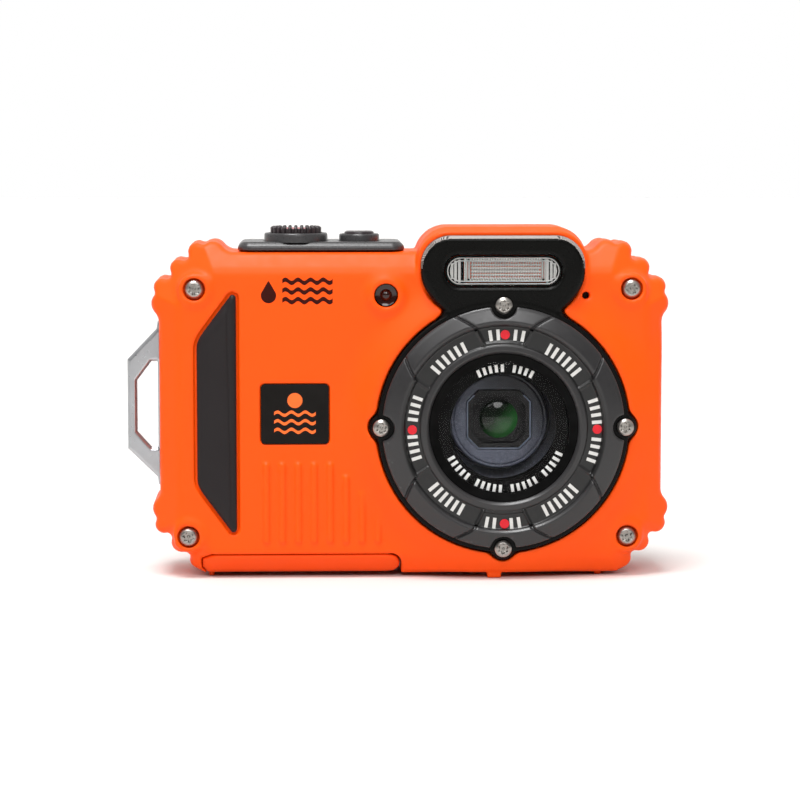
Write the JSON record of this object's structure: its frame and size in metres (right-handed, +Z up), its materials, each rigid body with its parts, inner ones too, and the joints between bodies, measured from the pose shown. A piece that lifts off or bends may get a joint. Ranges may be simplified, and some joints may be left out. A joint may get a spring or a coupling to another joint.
{
  "type": "waterproof compact camera",
  "caption": "Rugged waterproof compact camera with lobed corner bumpers, ring-guarded lens window, flash hump, top buttons, side strap loop, rear display and bottom battery door.",
  "frame": {"origin": "centre of the bounding box in plan, on the surface that the camera stands on", "axes": "+Z up, lens faces -Y, +X to the right as seen from in front of the lens"},
  "size_m": [0.1075, 0.0282, 0.0696],
  "materials": {
    "orange_shell": "satin moulded plastic, fine grain",
    "deck_black": "satin",
    "black_gloss": "semi gloss",
    "black_matte": "matte",
    "ring_grey": "satin",
    "grip_rubber": "smooth satin rubber",
    "seal_rubber": "matte",
    "steel_screw": "brushed",
    "chrome_bracket": "polished",
    "clear_window": "clear",
    "lens_glass": "coated",
    "barrel_grey": "satin",
    "lamp_lens": "smoked",
    "reflector_chrome": "polished",
    "key_black": "satin",
    "display_glass": "gloss",
    "battery_grey": "satin",
    "board_green": "satin"
  },
  "bodies": {
    "root": {"front_shell": "orange_shell", "rear_shell": "orange_shell", "top_deck": "deck_black", "shutter_bezel": "deck_black", "power_bezel": "deck_black", "fascia": "black_gloss", "badge_plate": "black_gloss", "display_window": "black_gloss", "window_mask": "black_matte", "lens_tube": "black_matte", "flash_capacitor": "black_matte", "speaker": "black_matte", "lens_ring": "ring_grey", "grip_pad": "grip_rubber", "case_seal": "seal_rubber", "window_seal": "seal_rubber", "case_screw_1": "steel_screw", "case_screw_2": "steel_screw", "case_screw_3": "steel_screw", "case_screw_4": "steel_screw", "ring_screw_1": "steel_screw", "ring_screw_2": "steel_screw", "ring_screw_3": "steel_screw", "ring_screw_4": "steel_screw", "bracket_screw_1": "steel_screw", "bracket_screw_2": "steel_screw", "door_hinge_pin": "steel_screw", "tripod_insert": "steel_screw", "strap_bracket": "chrome_bracket", "flash_window": "clear_window", "flash_tube": "clear_window", "lens_window": "clear_window", "af_lamp": "lamp_lens", "flash_reflector": "reflector_chrome", "display_module": "display_glass", "battery": "battery_grey", "main_board": "board_green", "memory_card": "board_green", "sensor_module": "board_green", "microphone": "board_green"},
    "shutter_button": {"shutter_button": "deck_black"},
    "power_button": {"power_button": "deck_black"},
    "zoom_rocker": {"zoom_rocker": "key_black"},
    "battery_door": {"battery_door": "orange_shell", "door_seal": "seal_rubber"},
    "door_latch": {"door_latch": "deck_black"},
    "zoom_outer": {"zoom_barrel_outer": "barrel_grey"},
    "zoom_inner": {"zoom_barrel_inner": "barrel_grey", "lens_hood": "black_matte", "front_element": "lens_glass"},
    "ok_button": {"ok_button": "key_black"},
    "up_key": {"up_key": "key_black"},
    "down_key": {"down_key": "key_black"},
    "left_key": {"left_key": "key_black"},
    "right_key": {"right_key": "key_black"},
    "movie_button": {"movie_button": "key_black"},
    "play_button": {"play_button": "key_black"},
    "menu_button": {"menu_button": "key_black"},
    "delete_button": {"delete_button": "key_black"}
  },
  "joints": [
    {"name": "shutter_press", "type": "slide", "parent": "root", "child": "shutter_button", "axis": [0, 0, -1], "range_m": [0, 0.0008], "stiffness_N_per_m": 900},
    {"name": "power_press", "type": "slide", "parent": "root", "child": "power_button", "axis": [0, 0, -1], "range_m": [0, 0.0004], "stiffness_N_per_m": 1500},
    {"name": "ok_press", "type": "slide", "parent": "root", "child": "ok_button", "axis": [0, -1, 0], "range_m": [0, 0.00035], "stiffness_N_per_m": 1500},
    {"name": "up_press", "type": "slide", "parent": "root", "child": "up_key", "axis": [0, -1, 0], "range_m": [0, 0.00035], "stiffness_N_per_m": 1500},
    {"name": "down_press", "type": "slide", "parent": "root", "child": "down_key", "axis": [0, -1, 0], "range_m": [0, 0.00035], "stiffness_N_per_m": 1500},
    {"name": "left_press", "type": "slide", "parent": "root", "child": "left_key", "axis": [0, -1, 0], "range_m": [0, 0.00035], "stiffness_N_per_m": 1500},
    {"name": "right_press", "type": "slide", "parent": "root", "child": "right_key", "axis": [0, -1, 0], "range_m": [0, 0.00035], "stiffness_N_per_m": 1500},
    {"name": "movie_press", "type": "slide", "parent": "root", "child": "movie_button", "axis": [0, -1, 0], "range_m": [0, 0.00035], "stiffness_N_per_m": 1500},
    {"name": "play_press", "type": "slide", "parent": "root", "child": "play_button", "axis": [0, -1, 0], "range_m": [0, 0.00035], "stiffness_N_per_m": 1500},
    {"name": "menu_press", "type": "slide", "parent": "root", "child": "menu_button", "axis": [0, -1, 0], "range_m": [0, 0.00035], "stiffness_N_per_m": 1500},
    {"name": "delete_press", "type": "slide", "parent": "root", "child": "delete_button", "axis": [0, -1, 0], "range_m": [0, 0.00035], "stiffness_N_per_m": 1500},
    {"name": "zoom_rocker_tilt", "type": "hinge", "parent": "root", "child": "zoom_rocker", "pos_m": [-0.028, 0.0118, 0.056], "axis": [0, 0, 1], "range_deg": [-2.5, 2.5], "stiffness_Nm_per_rad": 0.06},
    {"name": "battery_door_hinge", "type": "hinge", "parent": "root", "child": "battery_door", "pos_m": [-0.0016, 0, 0.0028], "axis": [0, -1, 0], "range_deg": [0, 90]},
    {"name": "door_latch_slide", "type": "slide", "parent": "battery_door", "child": "door_latch", "axis": [1, 0, 0], "range_m": [0, 0.0025]},
    {"name": "zoom_outer_slide", "type": "slide", "parent": "root", "child": "zoom_outer", "axis": [0, -1, 0], "range_m": [0, 0.003]},
    {"name": "zoom_inner_slide", "type": "slide", "parent": "zoom_outer", "child": "zoom_inner", "axis": [0, -1, 0], "range_m": [0, 0.0024]}
  ],
  "couplings": [
    {"joint": "zoom_inner_slide", "follows": "zoom_outer_slide", "ratio": 0.8}
  ]
}
